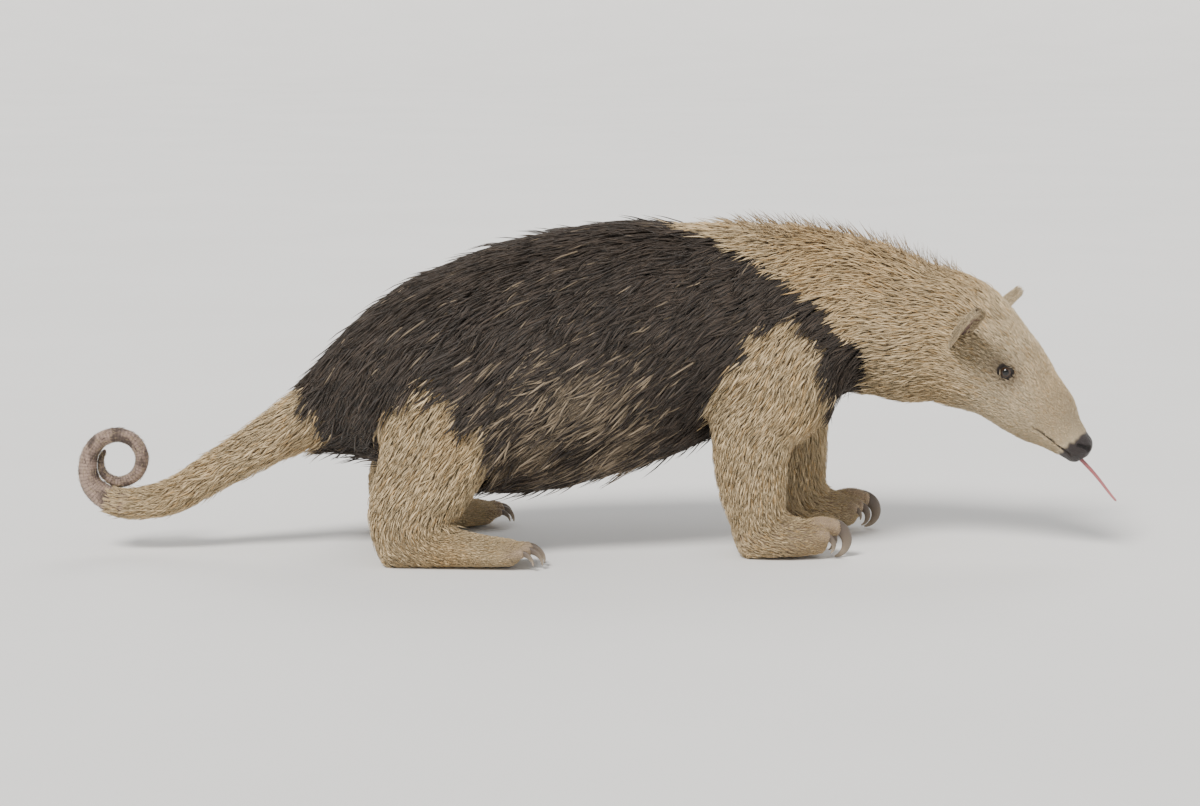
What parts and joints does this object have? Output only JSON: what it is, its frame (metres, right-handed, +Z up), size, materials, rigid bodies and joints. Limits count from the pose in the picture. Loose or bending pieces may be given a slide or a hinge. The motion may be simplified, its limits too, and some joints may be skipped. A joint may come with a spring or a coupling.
{
  "type": "southern tamandua museum model",
  "caption": "Life-size still model of a southern tamandua, a lesser anteater with a black vest, walking with its tongue out and its tail curled.",
  "frame": {"origin": "on the floor, under the middle of the whole model's box", "axes": "+X towards the head, +Y towards the animal's left side, +Z up"},
  "size_m": [0.7188, 0.206, 0.2361],
  "materials": {
    "coat_dark": "dense bristly blackish-brown coat of the vest",
    "coat_pale": "short dense golden-buff coat",
    "skin_bare": "bare, finely scaled pinkish-grey skin with dark blotches",
    "nose": "moist dark bare nose skin",
    "eye": "wet glossy dark brown",
    "claw": "satin horn, paler to the tip",
    "tongue": "wet, dark pink"
  },
  "bodies": {
    "root": {"torso": "coat_dark", "neck": "coat_pale", "head": "coat_pale", "nose_pad": "nose", "tongue": "tongue", "ear_left": "coat_pale", "eye_left": "eye", "ear_right": "coat_pale", "eye_right": "eye", "foreleg_right_upper": "coat_pale", "foreleg_right_lower": "coat_pale", "forefoot_right": "coat_pale", "claw_forefoot_right_1": "claw", "claw_forefoot_right_2": "claw", "claw_forefoot_right_3": "claw", "claw_forefoot_right_4": "claw", "foreleg_left_upper": "coat_pale", "foreleg_left_lower": "coat_pale", "forefoot_left": "coat_pale", "claw_forefoot_left_1": "claw", "claw_forefoot_left_2": "claw", "claw_forefoot_left_3": "claw", "claw_forefoot_left_4": "claw", "hindleg_right_upper": "coat_pale", "hindleg_right_lower": "coat_pale", "hindfoot_right": "coat_pale", "claw_hindfoot_right_1": "claw", "claw_hindfoot_right_2": "claw", "claw_hindfoot_right_3": "claw", "claw_hindfoot_right_4": "claw", "claw_hindfoot_right_5": "claw", "hindleg_left_upper": "coat_pale", "hindleg_left_lower": "coat_pale", "hindfoot_left": "coat_pale", "claw_hindfoot_left_1": "claw", "claw_hindfoot_left_2": "claw", "claw_hindfoot_left_3": "claw", "claw_hindfoot_left_4": "claw", "claw_hindfoot_left_5": "claw", "tail_base": "coat_pale", "tail_middle": "coat_pale", "tail_curl": "skin_bare", "tail_tip": "skin_bare"}
  },
  "joints": []
}
